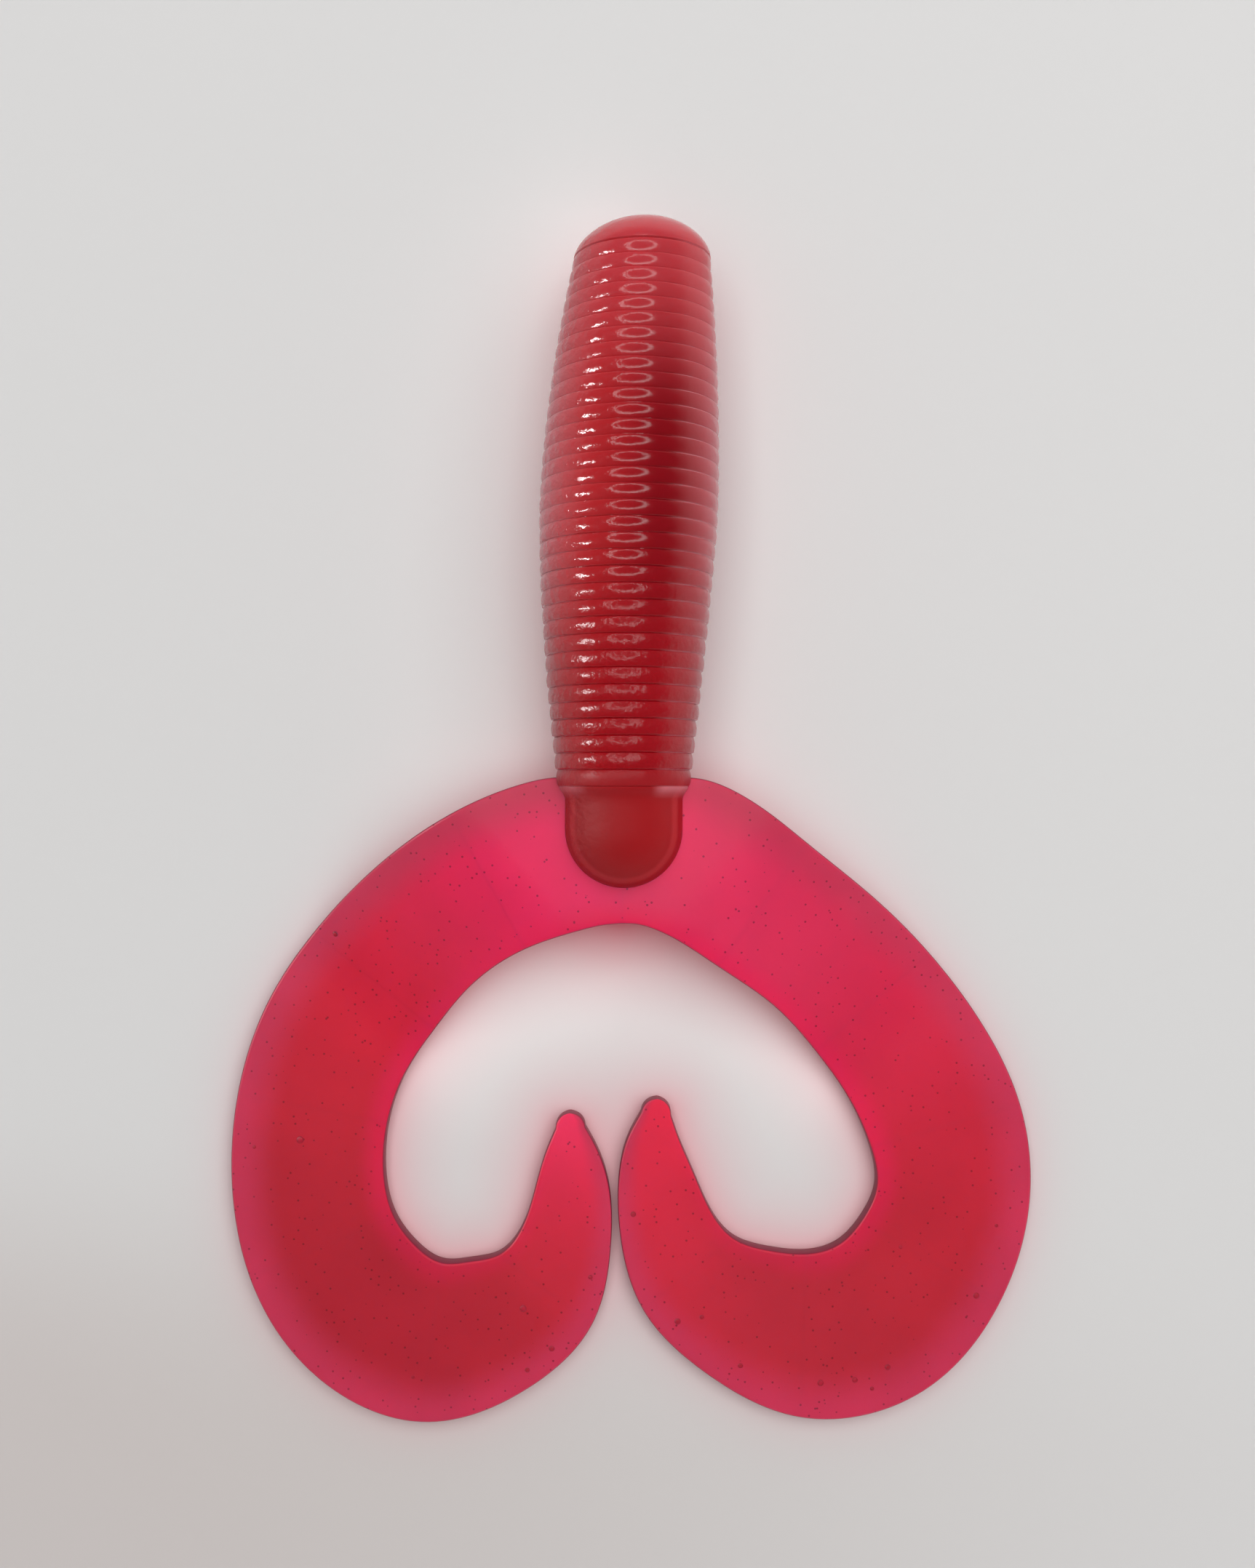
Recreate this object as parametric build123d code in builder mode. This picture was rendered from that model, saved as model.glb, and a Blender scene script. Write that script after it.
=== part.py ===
"""Ribbed twin-tail soft lure: a barrel body with a tongue, and two flat tails that curl under it.

The real lure is one moulding of soft plastic, so every node here is a stretch of that moulding between
two lines where it flexes. Neighbouring stretches end in blunt wedges that meet on the flex line.
+Y points from the tails to the nose, +Z is up, and the lure lies on Z = 0.
"""
from build123d import *
import math
import os

# ---- Driving dimensions, in millimetres and degrees ----
trunk_length = 37.4
nose_radius = 4.2
belly_radius = 6.0
collar_radius = 4.45
belly_from_collar = 18.4      # where the barrel is widest
nose_taper = 1.8              # how late the barrel draws in: 1 is a cone, more is a fuller barrel
collar_taper = 1.4
nose_rim_radius = 1.6
collar_y = 3.75               # the end of the barrel, where the tongue and the web begin
trunk_bow = 1.4               # how far the nose lies off the straight line, towards +X
trunk_x = -0.45               # the collar's place beside the middle of the lure

first_rib_pitch = 0.95        # the ribs grow slightly wider towards the collar
last_rib_pitch = 1.09
nose_cap_length = 2.36
rib_groove_depth = 0.22
nose_ribs = 7
fore_ribs = 9
belly_ribs = 9

tongue_radius = 3.95
tongue_length = 6.8

tail_thickness = 1.3
web_apex = (-0.6, -5.4)
web_collar_clearance = 1.1    # the web stays this far behind the collar, so the collar can bend

flex_gap = 0.06               # between two neighbouring stretches, on the flex line
trunk_bend = 12.0             # the most that one trunk joint bends, each way
root_bend = 20.0
tail_bend = 32.0              # the most that one tail joint flaps, each way

# Each tail's middle line from the web to the tip: (x, y, half the ribbon's width).
left_stations = (
    (-5.29, -0.97, 5.25), (-9.49, -2.61, 5.17), (-14.3, -5.97, 5.2),
    (-17.87, -9.8, 5.42), (-20.7, -14.1, 5.42),
    (-22.25, -18.8, 5.35), (-22.58, -23.7, 5.35),
    (-21.6, -28.5, 5.5), (-18.85, -32.7, 5.75),
    (-13.9, -35.2, 5.65), (-9.15, -33.95, 4.9),
    (-5.95, -31.5, 4.1), (-4.4, -27.6, 3.15),
    (-4.05, -24.4, 2.6), (-4.1, -22.0, 1.9), (-4.2, -20.2, 1.05),
)
right_stations = (
    (4.43, -1.27, 5.35), (8.82, -4.18, 5.12), (13.16, -7.51, 5.05),
    (16.87, -11.29, 5.25), (19.9, -15.4, 5.35),
    (22.05, -20.0, 5.45), (22.6, -24.8, 5.4),
    (21.05, -29.5, 5.65), (17.5, -33.5, 5.95),
    (12.1, -34.72, 5.75), (7.65, -33.1, 4.9),
    (4.05, -30.4, 4.05), (2.2, -26.1, 3.15),
    (1.75, -23.4, 2.6), (1.6, -20.9, 1.8), (1.8, -19.2, 1.05),
)
slope_end = 4                 # the station by which each tail has come down to the surface
# The stretches of a tail, from the web outwards, and the stations that each one runs between.
tail_stretches = (
    ("root", 0, 2), ("shoulder", 2, 4), ("bow", 4, 6), ("heel", 6, 8),
    ("lobe", 8, 10), ("curl", 10, 12), ("tip", 12, 15),
)
# The flex lines where the tail flaps out of its own plane. At the others it opens its curl.
flapping = ("root", "bow", "lobe", "curl", "tip")

os.makedirs("parts", exist_ok=True)

# ---- The barrel body ----
trunk_height = belly_radius
nose_face_y = collar_y + trunk_length
rib_run = trunk_length - nose_cap_length
rib_count = round(2 * rib_run / (first_rib_pitch + last_rib_pitch))
aft_ribs = rib_count - nose_ribs - fore_ribs - belly_ribs
reach = 2 * belly_radius


def trunk_radius(y):
    """Radius of the barrel's outline at y."""
    from_belly = y - collar_y - belly_from_collar
    if from_belly > 0:
        share = from_belly / (trunk_length - belly_from_collar)
        return belly_radius - (belly_radius - nose_radius) * share**nose_taper
    share = -from_belly / belly_from_collar
    return belly_radius - (belly_radius - collar_radius) * share**collar_taper


def trunk_centre(y):
    """A point on the barrel's gently bowed middle line."""
    along = (y - collar_y) / trunk_length
    return Vector(trunk_x + trunk_bow * along**2, y, trunk_height)


def groove_y(index):
    """Where groove number index lies, counted from the nose cap."""
    share = index / rib_count
    even = nose_cap_length + rib_run * share
    shift = (last_rib_pitch - first_rib_pitch) * rib_count * share * (1 - share) / 2
    return nose_face_y - (even - shift)


def trunk_plane(y_from, y_to):
    """The plane that a stretch of the barrel is drawn in: X runs along it, towards the nose."""
    start = trunk_centre(y_from)
    return Plane(start, x_dir=trunk_centre(y_to) - start, z_dir=(0, 0, 1))


def flex_plane(point, along, hinge):
    """A plane on a flex line: its X runs along the stretch, away from it, its Z along the hinge."""
    return Plane(point, x_dir=along, z_dir=hinge)


def wedge_cutter(plane, bend, size):
    """All that lies beyond a stretch's blunt wedge end. The stretch may turn by bend, each way."""
    slope = size * math.tan(math.radians(bend / 2))
    with BuildPart() as cutter:
        with BuildSketch(plane):
            with BuildLine():
                Polyline(
                    (-flex_gap / 2, 0), (-flex_gap / 2 - slope, size), (size, size),
                    (size, -size), (-flex_gap / 2 - slope, -size), close=True,
                )
            make_face()
        extrude(amount=size, both=True)
    return cutter.part


def trunk_stretch(first_groove, last_groove, has_nose):
    """A ribbed stretch of the barrel, turned about its own middle line."""
    y_back = groove_y(last_groove)
    y_front = nose_face_y if has_nose else groove_y(first_groove)
    plane = trunk_plane(y_back, y_front)
    with BuildPart() as stretch:
        with BuildSketch(plane):
            with BuildLine():
                Line((0, 0), (0, trunk_radius(y_back) - rib_groove_depth))
                for index in range(last_groove, first_groove, -1):
                    low = groove_y(index)
                    high = groove_y(index - 1)
                    middle = (low + high) / 2
                    ThreePointArc(
                        (low - y_back, trunk_radius(low) - rib_groove_depth),
                        (middle - y_back, trunk_radius(middle)),
                        (high - y_back, trunk_radius(high) - rib_groove_depth),
                    )
                front = y_front - y_back
                cap = groove_y(first_groove)
                if has_nose:
                    rim = nose_radius - nose_rim_radius
                    side = front - nose_rim_radius
                    corner = nose_rim_radius / math.sqrt(2)      # the middle of the rounded rim
                    Line((cap - y_back, trunk_radius(cap) - rib_groove_depth), (side, nose_radius))
                    ThreePointArc((side, nose_radius), (side + corner, rim + corner), (front, rim))
                    Line((front, rim), (front, 0))
                else:
                    Line((front, trunk_radius(cap) - rib_groove_depth), (front, 0))
                Line((front, 0), (0, 0))
            make_face()
        revolve(axis=Axis(plane.origin, plane.x_dir))
    return stretch.part


sideways_hinge = (0, 0, 1)
nodding_hinge = (1, 0, 0)
nose_end = nose_ribs
fore_end = nose_end + fore_ribs
belly_end = fore_end + belly_ribs
to_nose = Vector(0, 1, 0)
to_tail = Vector(0, -1, 0)


def trunk_cutter(groove, away, hinge):
    """Shapes the end of a stretch at a groove; away points out of the stretch."""
    plane = flex_plane(trunk_centre(groove_y(groove)), away, hinge)
    return wedge_cutter(plane, trunk_bend, reach)


with BuildPart() as nose_section:
    add(trunk_stretch(0, nose_end, True))
    add(trunk_cutter(nose_end, to_tail, sideways_hinge), mode=Mode.SUBTRACT)
nose_section.part.label = "nose_section"

with BuildPart() as fore_section:
    add(trunk_stretch(nose_end, fore_end, False))
    add(trunk_cutter(nose_end, to_nose, sideways_hinge), mode=Mode.SUBTRACT)
    add(trunk_cutter(fore_end, to_tail, nodding_hinge), mode=Mode.SUBTRACT)
fore_section.part.label = "fore_section"

with BuildPart() as belly_section:
    add(trunk_stretch(fore_end, belly_end, False))
    add(trunk_cutter(fore_end, to_nose, nodding_hinge), mode=Mode.SUBTRACT)
    add(trunk_cutter(belly_end, to_tail, sideways_hinge), mode=Mode.SUBTRACT)
belly_section.part.label = "belly_section"

with BuildPart() as aft_section:
    add(trunk_stretch(belly_end, rib_count, False))
    add(trunk_cutter(belly_end, to_nose, sideways_hinge), mode=Mode.SUBTRACT)
    add(trunk_cutter(rib_count, to_tail, nodding_hinge), mode=Mode.SUBTRACT)
aft_section.part.label = "aft_section"

# ---- The tongue, a round-ended stub that runs out of the collar through the web ----
collar_centre = Vector(trunk_x, collar_y, trunk_height)
tongue_plane = Plane(collar_centre, x_dir=to_tail, z_dir=(0, 0, 1))
tongue_straight = tongue_length - tongue_radius

with BuildPart() as tongue:
    with BuildSketch(tongue_plane):
        with BuildLine():
            Polyline(
                (tongue_length, 0), (0, 0), (0, tongue_radius), (tongue_straight, tongue_radius)
            )
            RadiusArc((tongue_straight, tongue_radius), (tongue_length, 0), tongue_radius)
        make_face()
    revolve(axis=Axis(collar_centre, to_tail))
    add(trunk_cutter(rib_count, to_nose, nodding_hinge), mode=Mode.SUBTRACT)
tongue.part.label = "tongue"

# ---- The tails ----
up = Vector(0, 0, 1)
web_floor = trunk_height - tail_thickness / 2
tail_middle = tail_thickness / 2
root_middle = trunk_height


class Tail:
    """One curled ribbon: its middle line, its two edges and the frames of its flex lines."""

    def __init__(self, stations, curl_axis):
        self.curl_axis = Vector(curl_axis)
        self.points = [Vector(x, y) for x, y, half in stations]
        self.halves = [half for x, y, half in stations]
        last = len(stations) - 1
        self.headings = []
        for index in range(last + 1):
            before = self.points[max(index - 1, 0)]
            after = self.points[min(index + 1, last)]
            self.headings.append((after - before).normalized())
        self.outer = Spline(*[self.edge_point(index, 1) for index in range(last + 1)])
        self.inner = Spline(*[self.edge_point(index, -1) for index in range(last + 1)])

    def outward(self, index):
        """Across the ribbon, from its middle line to the outside of the curl."""
        return self.headings[index].cross(self.curl_axis)

    def edge_point(self, index, side):
        """A point of the outer edge (side 1) or of the inner edge (side -1)."""
        return self.points[index] + self.outward(index) * (side * self.halves[index])

    def outline(self, first, last):
        """The edges round a stretch between two stations; the last one of the tail has a round end."""
        start_outer, start_inner = self.edge_point(first, 1), self.edge_point(first, -1)
        end_outer, end_inner = self.edge_point(last, 1), self.edge_point(last, -1)
        edges = [
            self.outer.trim(start_outer, end_outer),
            self.inner.trim(start_inner, end_inner),
            Line(start_outer, start_inner),
        ]
        if last == len(self.points) - 1:
            end = self.points[last] + self.headings[last] * self.halves[last]
            edges.append(ThreePointArc(end_outer, end, end_inner))
        else:
            edges.append(Line(end_outer, end_inner))
        return edges

    def flap_hinge(self, index):
        """The direction about which the tail beyond a station rises."""
        return self.headings[index].cross(up)

    def end_cutter(self, name, index, away):
        """Shapes a stretch's end on the flex line that starts the stretch called name."""
        middle = root_middle if index == 0 else tail_middle
        place = self.points[index] + up * middle
        along = self.headings[index] * away
        bend = 0
        if name in flapping:
            bend = root_bend if index == 0 else tail_bend
        plane = flex_plane(place, along, self.flap_hinge(index))
        return wedge_cutter(plane, bend, reach)


def tail_stretch(tail, number):
    """One stretch of a tail. The first ones come down from the web to the surface in an S."""
    name, first, last = tail_stretches[number]
    slopes = first < slope_end
    top = root_middle + tail_middle if slopes else tail_thickness
    with BuildPart() as stretch:
        with BuildSketch():
            with BuildLine():
                add(tail.outline(first, last))
            make_face()
        extrude(amount=top)
        if slopes:
            downhill = (tail.points[slope_end] - tail.points[0]).normalized()
            start = (tail.edge_point(0, -1) - tail.points[0]).dot(downhill)
            end = (tail.edge_point(slope_end, -1) - tail.points[0]).dot(downhill)
            with BuildSketch(Plane(tail.points[0], x_dir=downhill, z_dir=downhill.cross(up))):
                with BuildLine():
                    Spline((start, top), (end, tail_thickness), tangents=((1, 0), (1, 0)))
                    Polyline((end, tail_thickness), (2 * end, tail_thickness), (2 * end, 0), (end, 0))
                    Spline((start, web_floor), (end, 0), tangents=((1, 0), (1, 0)))
                    Polyline((start, web_floor), (-end, web_floor), (-end, top), (start, top))
                make_face()
            extrude(amount=reach, both=True, mode=Mode.INTERSECT)
        add(tail.end_cutter(name, first, -1), mode=Mode.SUBTRACT)
        if number + 1 < len(tail_stretches):
            next_name = tail_stretches[number + 1][0]
            add(tail.end_cutter(next_name, last, 1), mode=Mode.SUBTRACT)
    return stretch.part


tails = {
    "left": Tail(left_stations, (0, 0, 1)),
    "right": Tail(right_stations, (0, 0, -1)),
}

# ---- The web, the thin sheet between the tongue and the two tails ----
with BuildPart() as web:
    with BuildSketch(Plane.XY.offset(web_floor)):
        with BuildLine():
            left, right = tails["left"], tails["right"]
            ThreePointArc(left.edge_point(0, -1), web_apex, right.edge_point(0, -1))
            web_top = collar_y - web_collar_clearance
            Polyline(
                right.edge_point(0, -1), right.edge_point(0, 1),
                (trunk_x + tongue_radius, web_top), (trunk_x - tongue_radius, web_top),
                left.edge_point(0, 1), left.edge_point(0, -1),
            )
        make_face()
    extrude(amount=tail_thickness)
    add(tongue.part, mode=Mode.SUBTRACT)
    for tail in tails.values():
        add(tail.end_cutter("root", 0, 1), mode=Mode.SUBTRACT)
web.part.label = "web"

# ---- Write every node ----
for section in (nose_section, fore_section, belly_section, aft_section, tongue, web):
    export_step(section.part, f"parts/{section.part.label}.step")

for side, tail in tails.items():
    for number, (name, first, last) in enumerate(tail_stretches):
        piece = tail_stretch(tail, number)
        piece.label = f"{side}_tail_{name}"
        export_step(piece, f"parts/{piece.label}.step")
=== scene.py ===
import math

import bpy
import numpy as np
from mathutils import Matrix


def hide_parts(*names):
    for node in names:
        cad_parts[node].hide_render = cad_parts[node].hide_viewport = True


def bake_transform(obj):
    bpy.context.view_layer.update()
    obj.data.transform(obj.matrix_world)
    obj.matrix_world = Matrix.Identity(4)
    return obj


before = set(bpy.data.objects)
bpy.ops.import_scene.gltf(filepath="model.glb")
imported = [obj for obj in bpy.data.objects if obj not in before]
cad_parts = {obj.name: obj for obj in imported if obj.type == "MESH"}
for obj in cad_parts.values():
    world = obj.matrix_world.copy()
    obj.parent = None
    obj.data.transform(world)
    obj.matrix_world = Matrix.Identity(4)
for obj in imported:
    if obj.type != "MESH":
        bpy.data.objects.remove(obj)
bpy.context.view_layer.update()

mm = 0.001
bpy.ops.object.select_all(action="DESELECT")

# ---------------------------------------------------------------- camera and light
# The lure lies flat and is looked at from straight above, nearer its tails than its nose.
# A ring lamp hangs over the nose end, and a small lamp stands low on the left.
camera_place = (-0.2 * mm, 3.9 * mm, 105.6 * mm)
camera_film_height = 36.0
camera_lens = 34.23
bpy.ops.object.camera_add(location=camera_place, rotation=(0, 0, 0))
camera = bpy.context.object
camera.name = "camera"
camera.data.sensor_fit = "VERTICAL"
camera.data.sensor_height = camera_film_height
camera.data.lens = camera_lens
camera.data.clip_start = 0.005
camera.data.clip_end = 20.0
bpy.context.scene.camera = camera
bpy.context.scene.view_settings.view_transform = "Standard"

ring_height = 200 * mm
ring_centre = (-4 * mm, 101 * mm)
ring_radius = 92 * mm
ring_width = 20 * mm
ring_strength = 4.4
ring_corners = 96
bpy.ops.mesh.primitive_circle_add(
    vertices=ring_corners, radius=ring_radius, fill_type="NGON", location=(*ring_centre, ring_height)
)
ring_lamp = bpy.context.object
ring_lamp.name = "ring_lamp"
bpy.ops.object.mode_set(mode="EDIT")
bpy.ops.mesh.select_all(action="SELECT")
bpy.ops.mesh.inset(thickness=ring_width)
bpy.ops.mesh.delete(type="FACE")
bpy.ops.object.mode_set(mode="OBJECT")
ring_glow = bpy.data.materials.new("ring_lamp_glow")
ring_glow.use_nodes = True
ring_nodes = ring_glow.node_tree.nodes
ring_nodes.clear()
ring_emission = ring_nodes.new("ShaderNodeEmission")
ring_emission.inputs["Strength"].default_value = ring_strength
ring_output = ring_nodes.new("ShaderNodeOutputMaterial")
ring_glow.node_tree.links.new(ring_emission.outputs[0], ring_output.inputs["Surface"])
ring_lamp.data.materials.append(ring_glow)
ring_lamp.visible_camera = False

side_distance = 300 * mm
side_angle = math.radians(56)     # how far it leans from straight above
side_lamp_y = 40 * mm
side_lamp_length, side_lamp_width = 100 * mm, 18 * mm
side_lamp_watts = 0.28
bpy.ops.object.light_add(
    type="AREA",
    location=(-side_distance * math.sin(side_angle), side_lamp_y, side_distance * math.cos(side_angle)),
    rotation=(0, -side_angle, 0),
)
side_lamp = bpy.context.object
side_lamp.name = "side_lamp"
side_lamp.data.shape = "ELLIPSE"
side_lamp.data.size = side_lamp_length
side_lamp.data.size_y = side_lamp_width
side_lamp.data.energy = side_lamp_watts
side_lamp.visible_diffuse = False

soft_place = (0.35, 0.42, 1.0)
soft_size = 1.6
soft_watts = 15.5
bpy.ops.object.light_add(type="AREA", location=soft_place)
soft_lamp = bpy.context.object
soft_lamp.name = "soft_lamp"
soft_lamp.data.size = soft_size
soft_lamp.data.energy = soft_watts
soft_lamp.visible_glossy = False

horizon_colour = (0.8, 0.785, 0.77, 1)
overhead_colour = (0.1, 0.1, 0.1, 1)
overhead_from = 0.5
world = bpy.data.worlds.new("studio")
bpy.context.scene.world = world
world.use_nodes = True
sky_nodes = world.node_tree.nodes
sky_links = world.node_tree.links
sky_nodes.clear()
sky_place = sky_nodes.new("ShaderNodeTexCoord")
sky_split = sky_nodes.new("ShaderNodeSeparateXYZ")
sky_ramp = sky_nodes.new("ShaderNodeValToRGB")
sky_ramp.color_ramp.elements[0].position = 0.0
sky_ramp.color_ramp.elements[0].color = horizon_colour
sky_ramp.color_ramp.elements[1].position = overhead_from
sky_ramp.color_ramp.elements[1].color = overhead_colour
sky_light = sky_nodes.new("ShaderNodeBackground")
sky_output = sky_nodes.new("ShaderNodeOutputWorld")
sky_links.new(sky_place.outputs["Generated"], sky_split.inputs[0])
sky_links.new(sky_split.outputs["Z"], sky_ramp.inputs["Fac"])
sky_links.new(sky_ramp.outputs["Color"], sky_light.inputs["Color"])
sky_links.new(sky_light.outputs[0], sky_output.inputs["Surface"])

# ---------------------------------------------------------------- body: nose, ringed trunk and tongue
# One poured length of soft clear-red plastic: a blunt domed nose, 34 low crowned ribs between fine
# grooves, and a smooth tongue behind the collar. The skin runs on over the places where it bends, and
# is parted only halfway between them, in the bottom of a groove.
collar_y = 3.75
trunk_length = 37.4
nose_face_y = collar_y + trunk_length
nose_radius = 4.2
nose_taper, collar_taper = 1.8, 1.4      # how late the barrel draws in at each end
belly_radius = 6.0
collar_radius = 4.45
belly_from_collar = 18.4
nose_cap_length = 2.36
nose_flat_radius = 2.1
trunk_bow = 1.4
trunk_x = -0.45
trunk_height = 6.0
rib_count = 34
first_rib_pitch = 0.95
last_rib_pitch = 1.09
rib_crown = 1.5
groove_depth = 0.055
groove_share = 0.12
rib_rows = (
    0.0, 0.03, 0.06, 0.1, 0.15, 0.22, 0.3, 0.4, 0.5, 0.6, 0.7, 0.78, 0.85, 0.9, 0.94, 0.97
)
tongue_radius = 3.95
tongue_length = 6.8
trunk_facets = 144
weld_gap = 0.0005 * mm
smooth_up_to = math.radians(35)


def trunk_radius_at(y):
    past = y - collar_y - belly_from_collar
    if past > 0:
        share = past / (trunk_length - belly_from_collar)
        return belly_radius - (belly_radius - nose_radius) * share**nose_taper
    share = min(1.0, -past / belly_from_collar)
    return belly_radius - (belly_radius - collar_radius) * share**collar_taper


def trunk_middle_at(y):
    return trunk_x + trunk_bow * (max(y - collar_y, 0) / trunk_length) ** 2


def groove_place(number):
    share = number / rib_count
    even = nose_cap_length + (trunk_length - nose_cap_length) * share
    shift = (last_rib_pitch - first_rib_pitch) * rib_count * share * (1 - share) / 2
    return nose_face_y - (even - shift)


def smooth_step(share):
    share = np.clip(share, 0, 1)
    return share * share * (3 - 2 * share)


def wrapped_skin(name, facets, rows, place, marks):
    """A flat grid rolled up into a closed skin. Place gives each crossing its point, marks its values."""
    bpy.ops.object.select_all(action="DESELECT")
    bpy.ops.mesh.primitive_grid_add(x_subdivisions=facets, y_subdivisions=rows - 1, size=1)
    skin = bpy.context.object
    skin.name = name
    flat = np.empty(len(skin.data.vertices) * 3)
    skin.data.vertices.foreach_get("co", flat)
    flat = flat.reshape(-1, 3)
    across = np.rint((flat[:, 0] + 0.5) * facets).astype(int)
    along = np.rint((flat[:, 1] + 0.5) * (rows - 1)).astype(int)
    skin.data.vertices.foreach_set("co", (place(across, along) * mm).ravel())
    for mark, values in marks.items():
        layer = skin.data.attributes.new(mark, "FLOAT", "POINT")
        layer.data.foreach_set("value", values(across, along).astype(np.float32))
    bpy.ops.object.mode_set(mode="EDIT")
    bpy.ops.mesh.select_all(action="SELECT")
    bpy.ops.mesh.remove_doubles(threshold=weld_gap)
    bpy.ops.mesh.select_all(action="DESELECT")
    bpy.ops.mesh.select_non_manifold()
    bpy.ops.mesh.fill_holes(sides=0)
    bpy.ops.mesh.select_all(action="SELECT")
    bpy.ops.mesh.normals_make_consistent(inside=False)
    bpy.ops.object.mode_set(mode="OBJECT")
    bpy.ops.object.shade_smooth_by_angle(angle=smooth_up_to)
    return skin


def trunk_rows(first_groove, last_groove):
    """Rows of (y, radius, dip, rib number) from one groove to another, rib by rib."""
    rows = []
    for rib in range(first_groove, last_groove):
        start, end = groove_place(rib), groove_place(rib + 1)
        for share in rib_rows:
            y = start + (end - start) * share
            edge = abs(share - 0.5) * 2
            dip = smooth_step((edge - (1 - groove_share)) / groove_share)
            crown = (edge * (start - end) / 2) ** 2 / (2 * rib_crown)
            level = trunk_radius_at(y) if dip == 1 else trunk_radius_at((start + end) / 2)
            rows.append((y, level - crown - groove_depth * dip, dip, rib))
    y = groove_place(last_groove)
    edge_crown = ((groove_place(last_groove - 1) - y) / 2) ** 2 / (2 * rib_crown)
    rows.append((y, trunk_radius_at(y) - edge_crown - groove_depth, 1.0, last_groove))
    return rows


def nose_rows():
    """The flat disc, then a blunt dome that rounds over into the first groove."""
    rows = [(nose_face_y, share * nose_flat_radius, 0.0, -1) for share in (0, 0.25, 0.5, 0.75, 0.95)]
    cap_radius = trunk_radius_at(groove_place(0))
    roundness = 0.65      # 0 is a cone, 1 is a quarter of an ellipse
    dip_width = 0.1
    for turn in np.linspace(0, math.pi / 2, 24)[:-1]:
        share = math.sin(turn)
        back = nose_cap_length * ((1 - roundness) * share + roundness * (1 - math.cos(turn)))
        dip = smooth_step((back - nose_cap_length + dip_width) / dip_width)
        radius = nose_flat_radius + (cap_radius - nose_flat_radius) * share
        rows.append((nose_face_y - back, radius - groove_depth * dip, float(dip), -1))
    return rows


def tongue_rows():
    """A quick draw-in from the last rib to the tongue, its straight length and its round end."""
    rows = []
    start = collar_radius - 0.12
    draw_in = 0.8
    for back in (0.06, 0.15, 0.3, 0.5, 0.8, 1.3, 2.0):
        ease = float(smooth_step(back / draw_in))
        rows.append((collar_y - back, start + (tongue_radius - start) * ease, 1.0 - ease, rib_count))
    bend_y = collar_y - tongue_length + tongue_radius
    for turn in np.linspace(0, math.pi / 2, 22):
        y = bend_y - tongue_radius * math.sin(turn)
        rows.append((y, tongue_radius * math.cos(turn), 0.0, rib_count))
    return rows


def body_skin(name, rows):
    """A length of the body: rows of (y, radius, dip, rib number) turned about its bowed middle line."""
    y = np.array([row[0] for row in rows])
    radius = np.array([row[1] for row in rows])
    dip = np.array([row[2] for row in rows], float)
    rib = np.array([row[3] for row in rows])
    full = np.where(rib >= rib_count, tongue_radius, radius)
    middle = np.array([trunk_middle_at(row[0]) for row in rows])
    turn = lambda across: 2 * math.pi * across / trunk_facets

    def place(across, along):
        """Each rib wavers a little in its own way, more towards the collar; grooves and ends don't."""
        angle = turn(across)
        worn = np.clip((rib[along] - 8) / 12, 0.15, 1)
        slow = 0.012 * np.sin(3 * angle + 2.3 * rib[along])
        quick = 0.008 * np.sin(7 * angle + 5.1 * rib[along])
        most = 0.02
        calm = np.where((rib[along] < 0) | (rib[along] >= rib_count), 0, 1 - dip[along])
        size = radius[along] + (worn * (slow + quick) - most) * calm
        x, z = middle[along] + size * np.sin(angle), trunk_height + size * np.cos(angle)
        return np.stack((x, y[along], z), axis=1)

    return wrapped_skin(
        name, trunk_facets, len(rows), place,
        {
            "side": lambda across, along: np.sin(turn(across)),
            "top": lambda across, along: np.cos(turn(across)) * radius[along] / full[along],
            "along": lambda across, along: (nose_face_y - y[along]) / trunk_length,
            "dip": lambda across, along: dip[along],
        },
    )


def linear(*colour):
    """A colour written 0 to 255, as the amount of light that it gives back."""
    return tuple(((c / 255 + 0.055) / 1.055) ** 2.4 if c > 10 else c / 255 / 12.92 for c in colour)


def plastic_colour(red, green, blue):
    """The base colour that looks like this one, with the gloss and the lamps of this scene."""
    gloss, light = 0.012, 0.92
    shares = [(c - gloss) / light for c in linear(red, green, blue)]
    return tuple(min(0.985, max(0.001, share)) for share in shares) + (1.0,)


def add_ramp(tree, value, stops):
    ramp = tree.nodes.new("ShaderNodeValToRGB")
    ramp.color_ramp.interpolation = "B_SPLINE" if len(stops) > 4 else "EASE"
    for number, (place, colour) in enumerate(stops):
        stop = ramp.color_ramp.elements[number] if number < 2 else ramp.color_ramp.elements.new(place)
        stop.position = place
        stop.color = colour
    tree.links.new(value, ramp.inputs["Fac"])
    return ramp.outputs["Color"]


def share_ramp(tree, value, *stops):
    """A ramp of greys, to be used as a share: each stop is a place and the share from 0 to 1."""
    return add_ramp(tree, value, [(place, (share, share, share, 1)) for place, share in stops])


def read_mark(tree, mark, low, high):
    reader = tree.nodes.new("ShaderNodeAttribute")
    reader.attribute_name = mark
    span = tree.nodes.new("ShaderNodeMapRange")
    span.inputs["From Min"].default_value = low
    span.inputs["From Max"].default_value = high
    tree.links.new(reader.outputs["Fac"], span.inputs["Value"])
    return span.outputs["Result"]


def mix_colours(tree, share, first, second, blend="MIX"):
    mixer = tree.nodes.new("ShaderNodeMix")
    mixer.data_type = "RGBA"
    mixer.blend_type = blend
    for socket, value in ((0, share), (6, first), (7, second)):
        if hasattr(value, "links"):
            tree.links.new(value, mixer.inputs[socket])
        else:
            mixer.inputs[socket].default_value = value
    return mixer.outputs[2]


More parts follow.
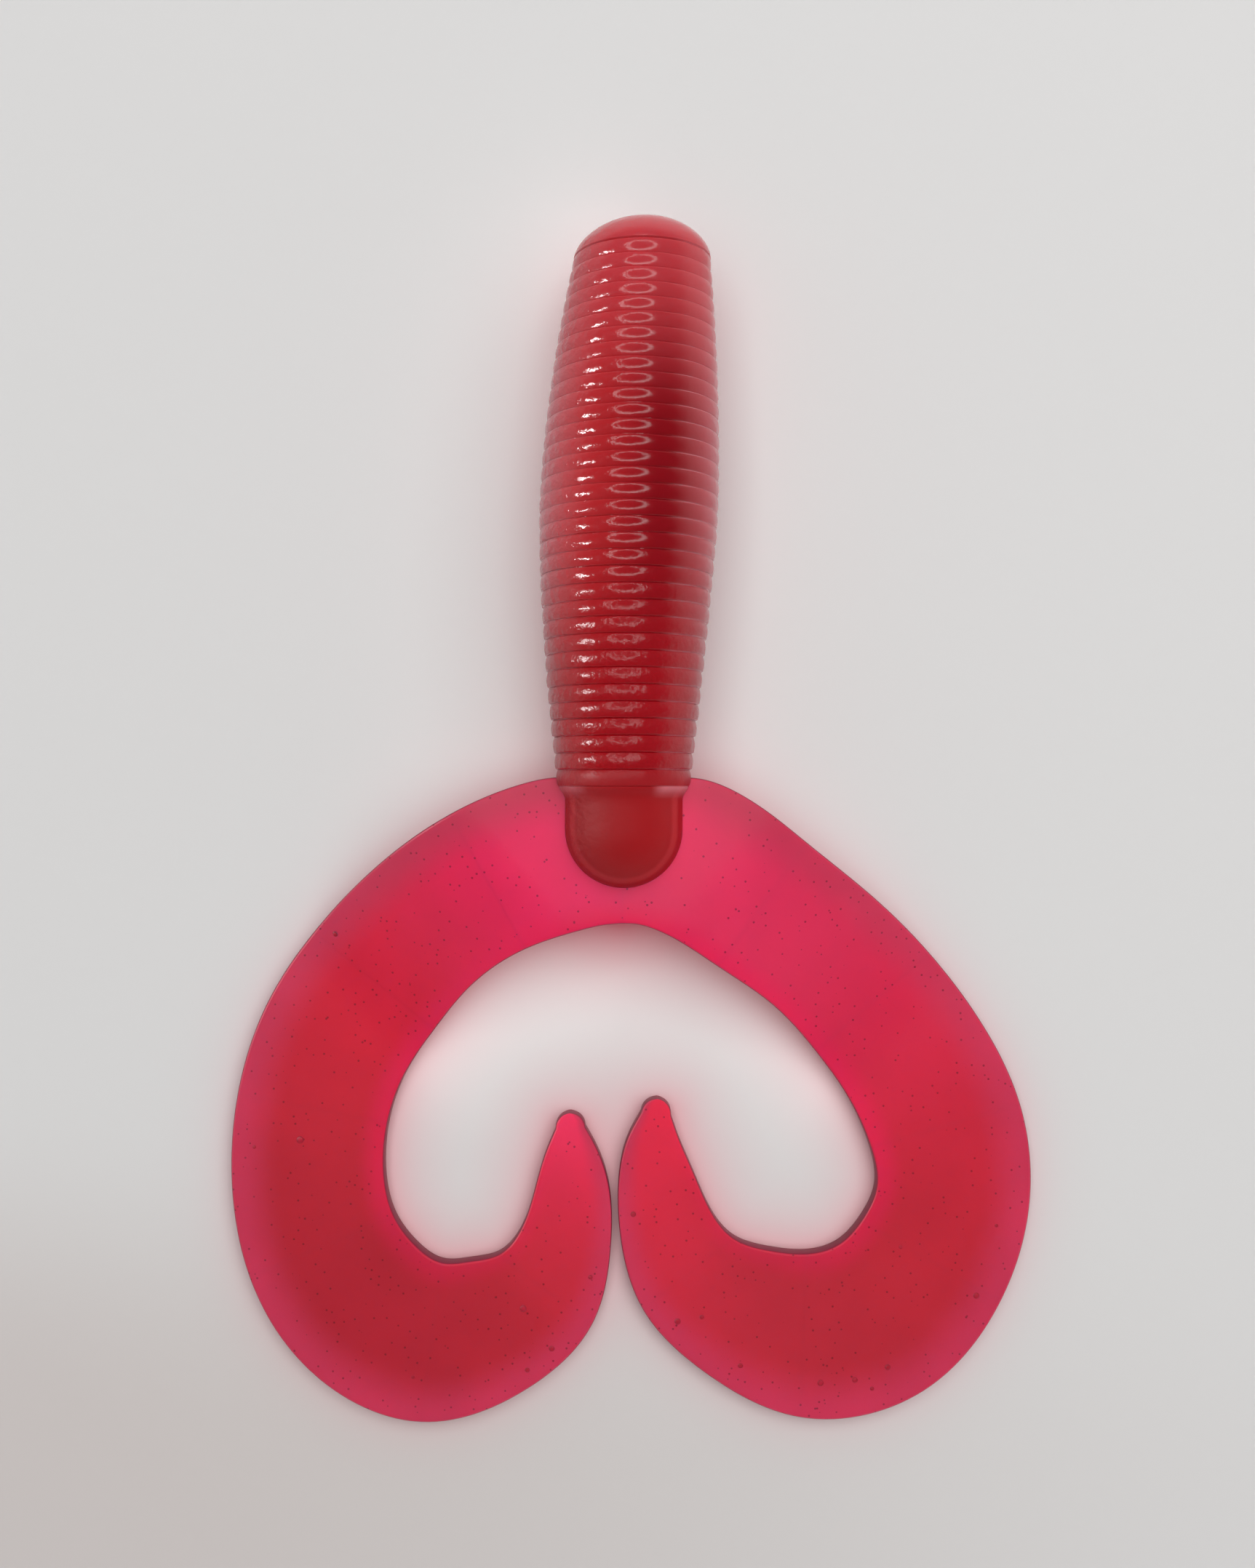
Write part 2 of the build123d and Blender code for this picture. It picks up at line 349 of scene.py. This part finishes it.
def add_noise(tree, scale, detail=2.0):
    place = tree.nodes.new("ShaderNodeTexCoord")
    noise = tree.nodes.new("ShaderNodeTexNoise")
    noise.inputs["Scale"].default_value = scale
    noise.inputs["Detail"].default_value = detail
    tree.links.new(place.outputs["Object"], noise.inputs["Vector"])
    return noise.outputs["Fac"]


def soft_plastic(name, roughness):
    """Clear soft plastic: light goes a short way in and comes out red, under a wet-looking surface."""
    finish = bpy.data.materials.new(name)
    finish.use_nodes = True
    shader = finish.node_tree.nodes["Principled BSDF"]
    shader.inputs["Roughness"].default_value = roughness
    shader.inputs["IOR"].default_value = plastic_ior
    shader.inputs["Subsurface Weight"].default_value = 1.0
    shader.inputs["Subsurface Radius"].default_value = colour_reach
    shader.inputs["Subsurface Scale"].default_value = light_reach
    return finish, finish.node_tree, shader


plastic_ior = 1.5
colour_reach = (1.0, 0.3, 0.3)      # red light goes further into the plastic than green and blue
light_reach = 0.12 * mm
rib_roughness, tongue_roughness = 0.14, 0.6
wear_scale, wear_depth = 1900.0, 0.13 * mm

body_finish, body_tree, body_shader = soft_plastic("body_plastic_finish", rib_roughness)
# Across the trunk the plastic is deep red, darkest a little right of the middle and lighter on the left. The
# paler rims are painted light, standing for light that comes through the thinner edges and reflects there.
trunk_tone_and_painted_rim_light = add_ramp(body_tree, read_mark(body_tree, "side", -1, 1), [
    (0.0, plastic_colour(190, 100, 112)),
    (0.08, plastic_colour(198, 88, 96)),
    (0.2, plastic_colour(192, 54, 61)),
    (0.35, plastic_colour(178, 48, 52)),
    (0.5, plastic_colour(160, 36, 42)),
    (0.62, plastic_colour(134, 28, 36)),
    (0.76, plastic_colour(132, 28, 34)),
    (0.88, plastic_colour(160, 48, 56)),
    (0.97, plastic_colour(184, 86, 96)),
])
# Paler towards the nose: painted light, standing for light that comes through the thinner nose.
nose_painted_light_share = share_ramp(
    body_tree, read_mark(body_tree, "along", 0, 1), (0.0, 1), (0.08, 0.7), (0.4, 0)
)
painted_nose_light_colour = plastic_colour(196, 72, 80)
body_colour = mix_colours(body_tree, nose_painted_light_share, trunk_tone_and_painted_rim_light, painted_nose_light_colour)
tongue_share = share_ramp(
    body_tree, read_mark(body_tree, "along", 0.97, 1.03), (0.0, 0), (1.0, 1)
)
# Towards the collar the sides stay deep red; only the very rims are paler, which is painted rim light.
aft_colour = add_ramp(body_tree, read_mark(body_tree, "side", -1, 1), [
    (0.0, plastic_colour(160, 60, 70)),
    (0.12, plastic_colour(180, 28, 36)),
    (0.5, plastic_colour(154, 34, 40)),
    (0.9, plastic_colour(158, 28, 36)),
    (1.0, plastic_colour(160, 60, 70)),
])
aft_share = share_ramp(body_tree, read_mark(body_tree, "along", 0, 1), (0.5, 0), (0.85, 1))
body_colour = mix_colours(body_tree, aft_share, body_colour, aft_colour)
# A paler band just inside the tongue's edges is a painted reflection of the bright floor at grazing angles.
painted_reflection_band = share_ramp(
    body_tree, read_mark(body_tree, "top", 0, 1), (0.4, 0), (0.5, 1), (0.56, 1), (0.64, 0)
)
deep_red, painted_reflection_red = plastic_colour(160, 28, 34), plastic_colour(176, 46, 50)
tongue_colour = mix_colours(body_tree, painted_reflection_band, deep_red, painted_reflection_red)
body_colour = mix_colours(body_tree, tongue_share, body_colour, tongue_colour)
# On the flanks the grooves get a pale line: a painted highlight, standing for the bright floor reflected in
# them.
flank = body_tree.nodes.new("ShaderNodeMath")
flank.operation = "MULTIPLY"
body_tree.links.new(read_mark(body_tree, "dip", 0, 1), flank.inputs[0])
groove_highlight_share = share_ramp(
    body_tree, read_mark(body_tree, "side", -1, 1), (0.1, 0.5), (0.25, 0), (0.7, 0), (0.82, 0.7)
)
body_tree.links.new(groove_highlight_share, flank.inputs[1])
painted_groove_highlight = plastic_colour(214, 130, 140)
body_colour = mix_colours(body_tree, flank.outputs[0], body_colour, painted_groove_highlight)
# The flat nose face is darker: painted shade on that face.
face_shade_share = share_ramp(
    body_tree, read_mark(body_tree, "along", 0.0, 0.02), (0.12, 1), (0.24, 0)
)
painted_shade_face_colour = plastic_colour(96, 30, 48)
body_colour = mix_colours(body_tree, face_shade_share, body_colour, painted_shade_face_colour)
body_tree.links.new(body_colour, body_shader.inputs["Base Color"])
wear_share = share_ramp(
    body_tree, read_mark(body_tree, "side", -1, 1),
    (0.05, 1), (0.16, 0.9), (0.26, 0.25), (0.4, 0.3), (0.46, 0.06), (0.75, 0.06), (0.95, 0.3),
)
aft_wear = share_ramp(
    body_tree, read_mark(body_tree, "along", 0, 1), (0.5, 0), (0.8, 0.5), (0.97, 0.5), (1.0, 0.05)
)
wear_share = mix_colours(body_tree, 1.0, wear_share, aft_wear, "LIGHTEN")
body_bump = body_tree.nodes.new("ShaderNodeBump")
body_bump.inputs["Distance"].default_value = wear_depth
body_tree.links.new(wear_share, body_bump.inputs["Strength"])
body_tree.links.new(add_noise(body_tree, wear_scale, 2.0), body_bump.inputs["Height"])
body_tree.links.new(body_bump.outputs["Normal"], body_shader.inputs["Normal"])
dull_share = share_ramp(
    body_tree, read_mark(body_tree, "along", 0.5, 1.03), (0.1, 0), (0.6, 0.2), (0.87, 0.2), (0.94, 1)
)
body_gloss = body_tree.nodes.new("ShaderNodeMapRange")
body_gloss.inputs["To Min"].default_value = rib_roughness
body_gloss.inputs["To Max"].default_value = tongue_roughness
body_tree.links.new(dull_share, body_gloss.inputs["Value"])
body_tree.links.new(body_gloss.outputs["Result"], body_shader.inputs["Roughness"])

neck_groove, waist_groove, hip_groove = 7, 16, 25      # grooves where the real body bends
mid_fore, mid_belly, mid_aft = 12, 21, 30              # the skin is parted at these


def bend_body(skin, front, back, hinge, *nodes):
    """Finishes a length of the body with the body plastic, hides the parts that it covers and bakes its
    placing.
    """
    skin.data.materials.append(body_finish)
    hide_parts(*nodes)
    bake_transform(skin)


nose_skin = body_skin("nose_skin", nose_rows() + trunk_rows(0, mid_fore))
bend_body(nose_skin, "nose", "fore", groove_place(neck_groove), "nose_section")
fore_skin = body_skin("fore_skin", trunk_rows(mid_fore, mid_belly))
bend_body(fore_skin, "fore", "belly", groove_place(waist_groove), "fore_section")
belly_skin = body_skin("belly_skin", trunk_rows(mid_belly, mid_aft))
bend_body(belly_skin, "belly", "aft", groove_place(hip_groove), "belly_section")
aft_skin = body_skin("aft_skin", trunk_rows(mid_aft, rib_count) + tongue_rows())
bend_body(aft_skin, "aft", "stem", collar_y, "aft_section", "tongue")

# ---------------------------------------------------------------- web and the two curled tails
# Two flat ribbons of the same plastic, poured with the body. They leave a thin web under the tongue,
# come down to the ground, sweep out and down, and curl in and up between themselves to thin tips.
web_apex = (-0.6, -5.4)
web_top = 3.3
tail_thickness = 1.3
edge_round = 0.2
root_middle = 6.0
tail_middle = 0.65
left_stations = (
    (-5.29, -0.97, 5.25), (-9.49, -2.61, 5.17), (-14.3, -5.97, 5.2), (-17.87, -9.8, 5.42),
    (-20.7, -14.1, 5.42), (-22.25, -18.8, 5.35), (-22.58, -23.7, 5.35), (-21.6, -28.5, 5.5),
    (-18.85, -32.7, 5.75), (-13.9, -35.2, 5.65), (-9.15, -33.95, 4.9), (-5.95, -31.5, 4.1), (-4.4, -27.6, 3.15),
    (-4.05, -24.4, 2.6), (-4.1, -22.0, 1.9), (-4.2, -20.2, 1.05),
)
right_stations = (
    (4.43, -1.27, 5.35), (8.82, -4.18, 5.12), (13.16, -7.51, 5.05), (16.87, -11.29, 5.25),
    (19.9, -15.4, 5.35), (22.05, -20.0, 5.45), (22.6, -24.8, 5.4), (21.05, -29.5, 5.65),
    (17.5, -33.5, 5.95), (12.1, -34.72, 5.75), (7.65, -33.1, 4.9), (4.05, -30.4, 4.05), (2.2, -26.1, 3.15),
    (1.75, -23.4, 2.6), (1.6, -20.9, 1.8), (1.8, -19.2, 1.05),
)
slope_end = 4
web_corners = {"left": ((-1.9, -5.52), (-4.75, 4.35)), "right": ((0.5, -5.46), (4.35, 4.3))}
stretches = ("root", "shoulder", "bow", "heel", "lobe", "curl", "tip")
rows_per_station = 15
top_facets, bottom_facets, bend_facets = 26, 10, 6


def smooth_through(points, places):
    """A natural cubic curve through the points, read at places counted in points."""
    points = np.array(points, float)
    reach = np.concatenate(([0], np.cumsum(np.linalg.norm(np.diff(points, axis=0), axis=1))))
    gap = np.diff(reach)
    count = len(points)
    stiff = np.eye(count)
    pull = np.zeros_like(points)
    for k in range(1, count - 1):
        stiff[k, k - 1:k + 2] = gap[k - 1], 2 * (gap[k - 1] + gap[k]), gap[k]
        pull[k] = 6 * ((points[k + 1] - points[k]) / gap[k] - (points[k] - points[k - 1]) / gap[k - 1])
    curve = np.linalg.solve(stiff, pull)
    places = np.asarray(places, float)
    k = np.clip(np.floor(places).astype(int), 0, count - 2)
    h = gap[k][:, None]
    b = (places - k)[:, None]
    a = 1 - b
    straight = a * points[k] + b * points[k + 1]
    return straight + ((a**3 - a) * curve[k] + (b**3 - b) * curve[k + 1]) * h**2 / 6


def tail_edges(side):
    """The inner and outer edge points, with two sections of the web before the first station."""
    stations = np.array(left_stations if side == "left" else right_stations)
    middle, half = stations[:, :2], stations[:, 2:]
    ahead = np.vstack((middle[1:], middle[-1:])) - np.vstack((middle[:1], middle[:-1]))
    ahead /= np.linalg.norm(ahead, axis=1)[:, None]
    outward = np.stack((ahead[:, 1], -ahead[:, 0]), axis=1) * (1 if side == "left" else -1)
    inner, outer = middle - outward * half, middle + outward * half
    corner_in, corner_out = web_corners[side]
    inner = np.vstack((web_apex, corner_in, inner))
    outer = np.vstack(((trunk_x, web_top), corner_out, outer))
    return inner, outer


def edge_loop():
    """One turn round a tail's section: across -1 to 1, height -1 to 1, and how far round each edge."""
    turns = np.linspace(0, math.pi / 2, bend_facets + 1)
    loop = [(share, 0.0, 1.0) for share in np.linspace(-1, 1, top_facets + 1)]
    loop += [(1.0, math.sin(t), math.cos(t)) for t in turns[1:]]
    loop += [(1.0, math.cos(t), -math.sin(t)) for t in turns[1:]]
    loop += [(share, 0.0, -1.0) for share in np.linspace(1, -1, bottom_facets + 1)[1:]]
    loop += [(-1.0, math.sin(t), -math.cos(t)) for t in turns[1:]]
    loop += [(-1.0, math.cos(t), math.sin(t)) for t in turns[1:]]
    return np.array(loop)


def tail_skin(name, side, first, last):
    """A length of tail between two places, both counted in stations. 15 to 16 is the round end."""
    inner_points, outer_points = tail_edges(side)
    last_station = len(left_stations) - 1
    rows = int(round((min(last, last_station) - first) * rows_per_station)) + 1
    places = np.linspace(first, min(last, last_station), rows)
    inner = smooth_through(inner_points, places + 2)
    outer = smooth_through(outer_points, places + 2)
    middle, reach = (inner + outer) / 2, (outer - inner) / 2
    if last > last_station:
        turns = np.linspace(0, math.pi / 2, 14)[1:]
        ahead = np.array((reach[-1][1], -reach[-1][0])) * (-1 if side == "left" else 1)
        middle = np.vstack((middle, [middle[-1] + ahead * math.sin(t) for t in turns]))
        reach = np.vstack((reach, [reach[-1] * max(math.cos(t), 0.02) for t in turns]))
        places = np.concatenate((places, last_station + turns / math.pi * 2))
    half = np.linalg.norm(reach, axis=1)
    stations = np.array(left_stations if side == "left" else right_stations)[:, :2]
    downhill = (stations[slope_end] - stations[0]) / np.linalg.norm(stations[slope_end] - stations[0])
    slope_from = (inner_points[2] - stations[0]) @ downhill
    slope_to = (inner_points[slope_end + 2] - stations[0]) @ downhill
    bevel = np.minimum(edge_round, half * 0.6)
    loop = edge_loop()
    facets = len(loop) - 1

    def across_mark(across, along):
        share, bend, _ = loop[across].T
        straight = half[along] - bevel[along]
        return (share * straight + np.sign(share) * bend * bevel[along]) / half[along]

    def place(across, along):
        share, bend, rise = loop[across].T
        flat = middle[along] + reach[along] * across_mark(across, along)[:, None]
        wall = tail_thickness / 2 - bevel[along]
        up = np.where(bend > 0, np.sign(rise) * wall + rise * bevel[along], rise * tail_thickness / 2)
        up = np.where((bend == 1) | (np.abs(rise) < 1e-9), 0.0, up)
        way = ((flat - stations[0]) @ downhill - slope_from) / (slope_to - slope_from)
        descent = smooth_step(way)
        descent = np.where(places[along] < slope_end, descent, 1.0)
        return np.column_stack((flat, root_middle + (tail_middle - root_middle) * descent + up))

    return wrapped_skin(
        name, facets, len(places), place,
        {
            "across": across_mark,
            "along": lambda across, along: places[along],
            "rise": lambda across, along: loop[across][:, 2],
            "half": lambda across, along: half[along],
        },
    )


def tail_finish(name, stops, outer_colour, inner_colour):
    """Clouded plastic: stops of colour along the tail's middle, a paler outer and a pinker inner edge, and
    darker side walls. The changes along the tail and the paler and pinker edges are painted light that comes
    through the thin plastic; the darker walls are painted shade.
    """
    finish, tree, shader = soft_plastic(name, tail_roughness)
    along = read_mark(tree, "along", *tail_places)
    span = tail_places[1] - tail_places[0]
    centre = add_ramp(tree, along, [
        ((place - tail_places[0]) / span, plastic_colour(*colour)) for place, colour in stops
    ])
    # Paler outer edge and pinker inner edge, fading along the tail: painted light coming through the thin
    # rounded edges.
    outer_share = share_ramp(
        tree, read_mark(tree, "across", -1, 1), (0.0, 0), (0.66, 0), (0.97, 1)
    )
    colour = mix_colours(tree, outer_share, centre, plastic_colour(*outer_colour))
    inner_share = share_ramp(tree, read_mark(tree, "across", -1, 1), (0.02, 1), (0.2, 0))
    fading = mix_colours(tree, along, (1, 1, 1, 1), (0, 0, 0, 1))
    inner_share = mix_colours(tree, 1.0, inner_share, fading, "MULTIPLY")
    colour = mix_colours(tree, inner_share, colour, plastic_colour(*inner_colour))
    cloud = share_ramp(tree, add_noise(tree, cloud_scale, 3.0), (0.3, 0.9), (0.7, 1))
    colour = mix_colours(tree, 1.0, colour, cloud, "MULTIPLY")
    dust_place = tree.nodes.new("ShaderNodeTexCoord")
    dust = tree.nodes.new("ShaderNodeTexVoronoi")
    dust.inputs["Scale"].default_value = dust_scale
    tree.links.new(dust_place.outputs["Object"], dust.inputs["Vector"])
    dust_share = share_ramp(tree, dust.outputs["Distance"], (0.1, 0.45), (0.15, 1))
    colour = mix_colours(tree, 1.0, colour, dust_share, "MULTIPLY")
    colour = mix_colours(tree, read_mark(tree, "bubble", 0, 1), colour, plastic_colour(*bubble_colour))
    # The side walls are darker: painted shade, seen from above as a thin dark outline.
    wall_shade_share = share_ramp(
        tree, read_mark(tree, "rise", -1, 1), (0.03, 0), (0.2, 1), (0.72, 1), (0.95, 0)
    )
    colour = mix_colours(tree, wall_shade_share, colour, plastic_colour(*painted_shade_wall_colour))
    tree.links.new(colour, shader.inputs["Base Color"])
    bump = tree.nodes.new("ShaderNodeBump")
    bump.inputs["Strength"].default_value = grain_strength
    bump.inputs["Distance"].default_value = grain_depth
    tree.links.new(add_noise(tree, grain_scale, 4.0), bump.inputs["Height"])
    tree.links.new(bump.outputs["Normal"], shader.inputs["Normal"])
    return finish


tail_roughness = 0.4
tail_places = (-2, 16)      # the middle of the web and the tip, counted in stations
cloud_scale, dust_scale = 130.0, 1700.0
grain_scale, grain_depth, grain_strength = 900.0, 0.05 * mm, 0.15
painted_light_outer_edge, painted_light_inner_edge = (206, 64, 95), (228, 45, 92)
bubble_colour, painted_shade_wall_colour = (176, 44, 62), (128, 28, 56)

# Tones along each tail: pinker where the plastic is thin or raised and lets more light through, deeper red
# where it lies thick on the ground. This is painted light.
tail_finishes = {
    "left": tail_finish("left_tail_finish", [
        (-2, (226, 60, 105)), (0, (236, 52, 110)), (2, (222, 44, 78)), (3.5, (216, 42, 66)),
        (5, (197, 49, 66)), (7, (184, 46, 60)), (9, (183, 47, 63)), (11, (201, 53, 68)),
        (13, (222, 54, 84)), (15, (246, 66, 108)),
    ], painted_light_outer_edge, painted_light_inner_edge),
    "right": tail_finish("right_tail_finish", [
        (-2, (226, 60, 105)), (0, (228, 64, 106)), (2, (218, 54, 92)), (3.5, (214, 50, 82)),
        (5, (207, 49, 71)), (7, (194, 50, 65)), (9, (194, 54, 70)), (11, (201, 53, 72)),
        (14, (232, 54, 84)),
    ], painted_light_outer_edge, painted_light_inner_edge),
}

# Each bubble is its place across and along the lure, and its radius.
bubbles = {
    "left": [(-20.5, -6.5, 0.24), (-23.1, -21.0, 0.26), (-7.5, -32.8, 0.24), (-2.8, -30.6, 0.16),
             (-5.5, -35.6, 0.2), (-7.2, -37.1, 0.18), (-26.3, -21.5, 0.12), (-15.2, -37.6, 0.12)],
    "right": [(0.2, -26.2, 0.2), (3.3, -33.7, 0.22), (5.0, -33.4, 0.16), (7.7, -36.8, 0.18),
              (13.3, -38.0, 0.22), (15.7, -37.8, 0.2), (16.9, -38.4, 0.15), (18.0, -36.9, 0.2),
              (24.2, -31.9, 0.22), (18.9, -28.5, 0.14), (25.6, -27.0, 0.12)],
}


def add_bubbles(skin, side):
    """Air bubbles just under the top of the tail: low round blisters, which join the skin."""
    marks = ("across", "along", "rise", "half")
    nearest_gap = 0.35
    flatness = 0.35
    sunk = 0.1
    count = len(skin.data.vertices)
    points = np.empty(count * 3)
    skin.data.vertices.foreach_get("co", points)
    points = points.reshape(-1, 3) / mm
    values = {}
    for mark in marks:
        values[mark] = np.empty(count)
        skin.data.attributes[mark].data.foreach_get("value", values[mark])
    tops = np.flatnonzero(values["rise"] > 0.99)
    owners = []
    domes = []
    for x, y, radius in list(bubbles[side]):
        gaps = np.hypot(points[tops, 0] - x, points[tops, 1] - y)
        nearest_top = tops[gaps.argmin()]
        if gaps.min() > nearest_gap:
            continue
        bubbles[side].remove((x, y, radius))
        bpy.ops.object.select_all(action="DESELECT")
        bpy.ops.mesh.primitive_uv_sphere_add(
            segments=20, ring_count=10, radius=radius * mm,
            location=(x * mm, y * mm, (points[nearest_top, 2] - sunk * radius) * mm),
        )
        dome = bpy.context.object
        dome.scale = (1, 1, flatness)
        bpy.ops.object.transform_apply(location=True, rotation=False, scale=True)
        owners += [nearest_top] * len(dome.data.vertices)
        domes.append(dome)
    bpy.ops.object.select_all(action="DESELECT")
    for dome in domes:
        dome.select_set(True)
    skin.select_set(True)
    bpy.context.view_layer.objects.active = skin
    if domes:
        bpy.ops.object.join()
    owners = np.array(owners, int)
    for mark in marks:
        both = np.concatenate((values[mark], values[mark][owners]))
        skin.data.attributes[mark].data.foreach_set("value", both.astype(np.float32))
    layer = skin.data.attributes.new("bubble", "FLOAT", "POINT")
    layer.data.foreach_set("value", np.repeat((0.0, 1.0), (count, len(owners))).astype(np.float32))
    bpy.ops.object.shade_smooth_by_angle(angle=smooth_up_to)


for side in ("left", "right"):
    for number, stretch in enumerate(stretches):
        first = -2 if number == 0 else 2 * number - 1
        last = 16 if stretch == "tip" else 2 * number + 1
        skin = tail_skin(f"{side}_{stretch}_skin", side, first, last)
        add_bubbles(skin, side)
        skin.data.materials.append(tail_finishes[side])
        nodes = [f"{side}_tail_{stretch}"] + (["web"] if stretch == "root" else [])
        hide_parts(*nodes)
        inner_points, outer_points = tail_edges(side)
        hinge = 2 * number
        reach = 0.8 if stretch in ("root", "tip") else 0.9
        spots = np.array((hinge - reach, hinge, hinge + reach)) + 2
        line = (smooth_through(inner_points, spots) + smooth_through(outer_points, spots)) / 2
        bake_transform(skin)

# ---------------------------------------------------------------- table
# A plain pale board, with a finer sheet of it under the lure. Painted into the sheet's colour: a red glow close
# to the lure for light come through the plastic, painted light close to the lure in place of its shadows, and
# painted shade where the room's light falls off.
board_roughness = 0.9
painted_shade_board, even_board, painted_light_board = (0.6, 0.555, 0.54, 1), (0.69, 0.683, 0.678, 1), (0.93, 0.905, 0.895, 1)
painted_red_light_board = (0.85, 0.1, 0.17, 1)
board_level, sheet_level = -0.04 * mm, -0.02 * mm
sheet_width, sheet_length = 110, 130

board_finish = bpy.data.materials.new("board_finish")
board_finish.use_nodes = True
board_tree = board_finish.node_tree
board_shader = board_tree.nodes["Principled BSDF"]
board_shader.inputs["Roughness"].default_value = board_roughness
# The lift mark paints shade and light into the board, from the darker tone through the even one to the lighter
# one.
painted_light_and_shade_colour = add_ramp(board_tree, read_mark(board_tree, "lift", -1, 1), [
    (0.0, painted_shade_board), (0.5, even_board), (1.0, painted_light_board),
])
# The glow mark paints a red glow into the board, standing for light that has come through the plastic.
board_colour = mix_colours(
    board_tree, read_mark(board_tree, "glow", 0, 1), painted_light_and_shade_colour, painted_red_light_board
)
board_tree.links.new(board_colour, board_shader.inputs["Base Color"])

bpy.ops.object.select_all(action="DESELECT")
bpy.ops.mesh.primitive_plane_add(size=4.0, location=(0, 0, board_level))
board = bpy.context.object
board.name = "board"
board.data.materials.append(board_finish)

bpy.ops.object.select_all(action="DESELECT")
bpy.ops.mesh.primitive_grid_add(
    x_subdivisions=220, y_subdivisions=260, size=1, location=(0, 0, sheet_level)
)
glow_sheet = bpy.context.object
glow_sheet.name = "board_near_lure"
glow_sheet.scale = (sheet_width * mm, sheet_length * mm, 1)
bpy.ops.object.transform_apply(location=True, rotation=False, scale=True)
spot = np.empty(len(glow_sheet.data.vertices) * 3)
glow_sheet.data.vertices.foreach_get("co", spot)
spot = spot.reshape(-1, 3)[:, :2] / mm


def nearest(points):
    return np.sqrt(((spot[:, None, :] - points[None, :, :]) ** 2).sum(axis=2).min(axis=1))


def fade_out(gap, most, over):
    return most * np.exp(-gap / over)


# Painted red glow along the tails' edges and round the trunk.
glow = np.zeros(len(spot))
line_places = np.linspace(0, len(left_stations) + 1, 160)
raised_places = np.linspace(0, 5.5, 60)
far_away = 100.0
under_web = np.full(len(spot), far_away)
for side in ("left", "right"):
    inner_points, outer_points = tail_edges(side)
    glow += fade_out(nearest(smooth_through(outer_points, line_places)), 0.22, 1.4)
    glow += fade_out(nearest(smooth_through(inner_points, line_places)), 0.42, 2.4)
    under_web = np.minimum(under_web, nearest(smooth_through(inner_points, raised_places)))
trunk_line = np.array([(trunk_middle_at(y), y) for y in np.linspace(-3, nose_face_y - 4.5, 60)])
trunk_gap = np.clip(nearest(trunk_line) - 5.5, 0, None)
glow += fade_out(trunk_gap, 0.12, 2.5)
# Painted light by the trunk, more on its left, and under the raised web, in place of their shadows; painted
# shade towards the bottom left.
left_of_trunk = smooth_step(0.5 - spot[:, 0] / 12)
lift = fade_out(trunk_gap, 0.25 + 0.2 * left_of_trunk, 9.0)
lift += fade_out(trunk_gap, 0.45 * left_of_trunk, 2.5)
lift += fade_out(under_web, 0.95, 5.0)
lift -= smooth_step((-spot[:, 1] - 12) / 34) * (0.65 - 0.0095 * spot[:, 0])
sheet_edge = 6
fade = np.clip((sheet_width / 2 - np.abs(spot[:, 0])) / sheet_edge, 0, 1)
fade *= np.clip((sheet_length / 2 - np.abs(spot[:, 1])) / sheet_edge, 0, 1)
for mark, values in (("glow", glow), ("lift", lift)):
    layer = glow_sheet.data.attributes.new(mark, "FLOAT", "POINT")
    layer.data.foreach_set("value", (np.clip(values, -1, 1) * fade).astype(np.float32))
glow_sheet.data.materials.append(board_finish)
